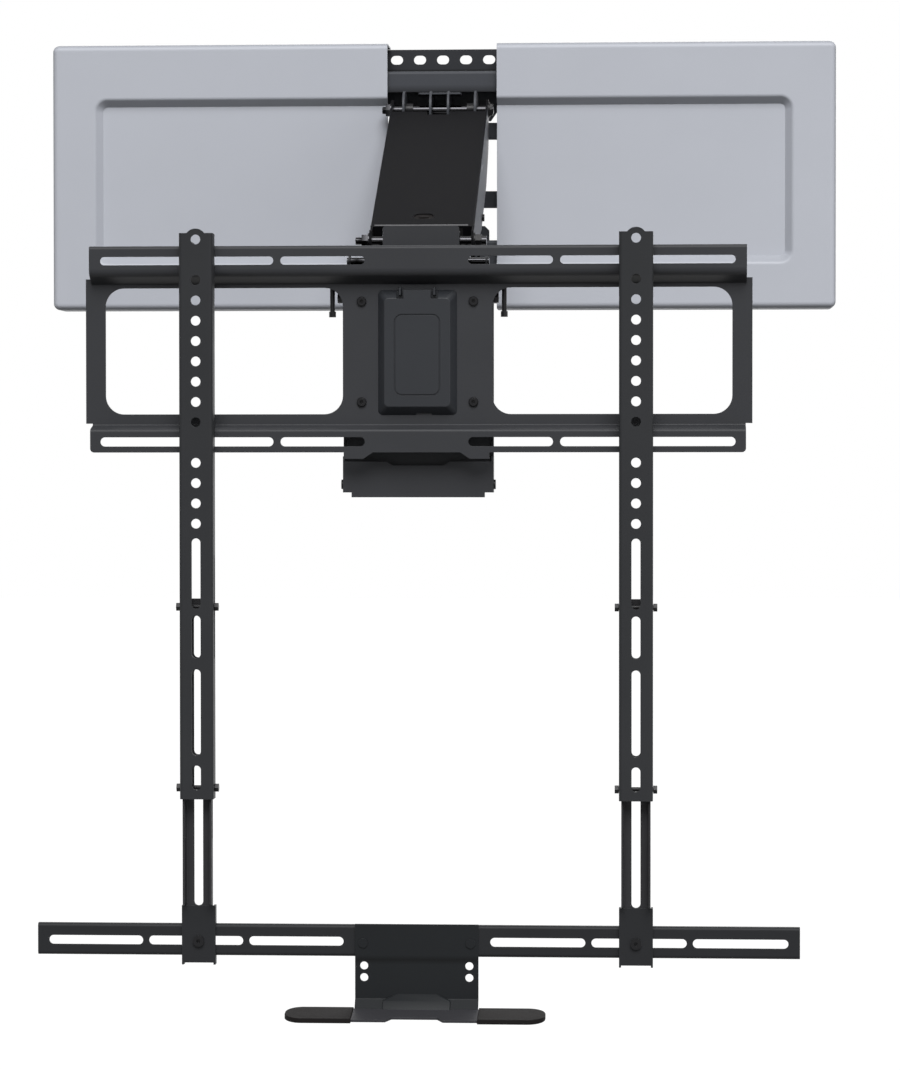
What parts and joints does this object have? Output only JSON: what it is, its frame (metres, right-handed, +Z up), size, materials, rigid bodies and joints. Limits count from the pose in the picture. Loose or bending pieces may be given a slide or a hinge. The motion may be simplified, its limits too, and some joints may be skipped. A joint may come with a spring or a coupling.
{
  "type": "pull-down tv wall mount",
  "caption": "Pull-down television wall mount with a sprung parallel-link arm, a swivelling and tilting slotted plate, two hole-row rails, a lower bar and a pull handle.",
  "frame": {"origin": "middle of the upper row of wall slots, on the wall plane", "axes": "+X to the right and +Z up for a viewer who faces the wall, +Y into the wall"},
  "size_m": [1.069, 0.6151, 1.2561],
  "materials": {
    "wall_grey": "satin grey-black powder coat",
    "cover_silver": "light grey, fine satin",
    "arm_black": "black powder coat",
    "plate_black": "blue-black powder coat",
    "rail_black": "black powder coat",
    "pin_black": "blackened steel",
    "bright_steel": "bright steel",
    "spring_black": "black enamel",
    "centre_plastic": "dark grey moulding",
    "grip_plastic": "dark grey grip"
  },
  "bodies": {
    "wall_frame": {"top_rail": "wall_grey", "bottom_rail": "wall_grey", "left_upright": "wall_grey", "right_upright": "wall_grey", "cross_bars": "wall_grey", "hinge_bracket": "wall_grey", "spring_base_pin": "pin_black", "link_wall_pins": "pin_black", "frame_bolts": "pin_black", "pin_collars": "pin_black"},
    "left_cover_body": {"left_cover": "cover_silver", "left_cover_clips": "centre_plastic"},
    "right_cover_body": {"right_cover": "cover_silver", "right_cover_clips": "centre_plastic"},
    "arm": {"upper_arm": "arm_black", "panel_plug": "centre_plastic", "upper_pin": "pin_black", "lower_pin": "pin_black", "arm_pin_nuts": "pin_black", "spring_top_pin": "pin_black", "arm_side_bolts": "pin_black"},
    "lower_links": {"left_link": "arm_black", "right_link": "arm_black", "link_tie": "arm_black"},
    "spring_cylinders": {"left_spring_cylinder": "spring_black", "right_spring_cylinder": "spring_black"},
    "spring_tubes": {"left_spring_tube": "bright_steel", "right_spring_tube": "bright_steel"},
    "spring_rods": {"left_spring_rod": "bright_steel", "right_spring_rod": "bright_steel"},
    "head": {"head_yoke": "arm_black", "link_head_pins": "pin_black", "swivel_pin": "pin_black"},
    "swivel_head": {"swivel_hub": "arm_black", "head_housing": "plate_black", "tilt_bolts": "pin_black", "housing_bolts": "pin_black"},
    "left_screw": {"left_level_screw": "pin_black"},
    "right_screw": {"right_level_screw": "pin_black"},
    "plate": {"tv_plate": "plate_black", "tilt_bracket": "plate_black", "hanger_rod": "bright_steel", "plate_screws": "pin_black", "centre_cover": "centre_plastic"},
    "tv_rails": {"left_rail": "rail_black", "right_rail": "rail_black", "rail_hooks": "rail_black", "rail_latches": "rail_black", "rail_bolts": "pin_black"},
    "extension": {"left_leg": "rail_black", "right_leg": "rail_black", "leg_bolts": "pin_black", "bar_clamps": "rail_black", "lower_bar": "rail_black", "bar_bolts": "pin_black", "handle_bracket": "rail_black", "handle_blade": "rail_black", "left_grip": "grip_plastic", "right_grip": "grip_plastic", "handle_rivets": "pin_black"}
  },
  "joints": [
    {"name": "arm_lift", "type": "hinge", "parent": "wall_frame", "child": "arm", "pos_m": [0, -0.068, -0.075], "axis": [-1, 0, 0], "range_deg": [-15, 100]},
    {"name": "lower_link_hinge", "type": "hinge", "parent": "wall_frame", "child": "lower_links", "pos_m": [0, -0.068, -0.137], "axis": [-1, 0, 0], "range_deg": [-15, 100]},
    {"name": "head_level", "type": "hinge", "parent": "arm", "child": "head", "pos_m": [0, -0.44941, -0.27355], "axis": [-1, 0, 0], "range_deg": [-100, 15]},
    {"name": "spring_base_hinge", "type": "hinge", "parent": "wall_frame", "child": "spring_cylinders", "pos_m": [0, -0.05579, -0.27463], "axis": [-1, 0, 0], "range_deg": [-7.5, 50]},
    {"name": "spring_tube_slide", "type": "slide", "parent": "spring_cylinders", "child": "spring_tubes", "axis": [0, -0.8704, 0.4924], "range_m": [-0.0147, 0.0978]},
    {"name": "spring_top_hinge", "type": "hinge", "parent": "arm", "child": "spring_rods", "pos_m": [0, -0.2454, -0.16735], "axis": [-1, 0, 0], "range_deg": [-50, 7.5]},
    {"name": "swivel", "type": "hinge", "parent": "head", "child": "swivel_head", "pos_m": [0, -0.48741, -0.327], "axis": [0, 0, 1], "range_deg": [-25, 25]},
    {"name": "tilt", "type": "hinge", "parent": "swivel_head", "child": "plate", "pos_m": [0, -0.51741, -0.34795], "axis": [1, 0, 0], "range_deg": [-5, 5]},
    {"name": "left_level_turn", "type": "hinge", "parent": "swivel_head", "child": "left_screw", "pos_m": [-0.107, -0.51741, -0.345], "axis": [0, 0, 1], "continuous": true},
    {"name": "right_level_turn", "type": "hinge", "parent": "swivel_head", "child": "right_screw", "pos_m": [0.107, -0.51741, -0.345], "axis": [0, 0, 1], "continuous": true},
    {"name": "rail_shift", "type": "slide", "parent": "plate", "child": "tv_rails", "axis": [1, 0, 0], "range_m": [-0.04, 0.04]},
    {"name": "bar_height", "type": "slide", "parent": "tv_rails", "child": "extension", "axis": [0, 0, 1], "range_m": [-0.06, 0.06]},
    {"name": "left_cover_slide", "type": "slide", "parent": "wall_frame", "child": "left_cover_body", "axis": [-1, 0, 0], "range_m": [0, 0.045]},
    {"name": "right_cover_slide", "type": "slide", "parent": "wall_frame", "child": "right_cover_body", "axis": [1, 0, 0], "range_m": [0, 0.045]}
  ],
  "couplings": [
    {"joint": "lower_link_hinge", "follows": "arm_lift", "ratio": 1},
    {"joint": "head_level", "follows": "arm_lift", "ratio": -1},
    {"joint": "spring_base_hinge", "follows": "arm_lift", "ratio": 0.5},
    {"joint": "spring_tube_slide", "follows": "arm_lift", "m_per_rad": 0.056},
    {"joint": "spring_top_hinge", "follows": "arm_lift", "ratio": -0.5}
  ]
}
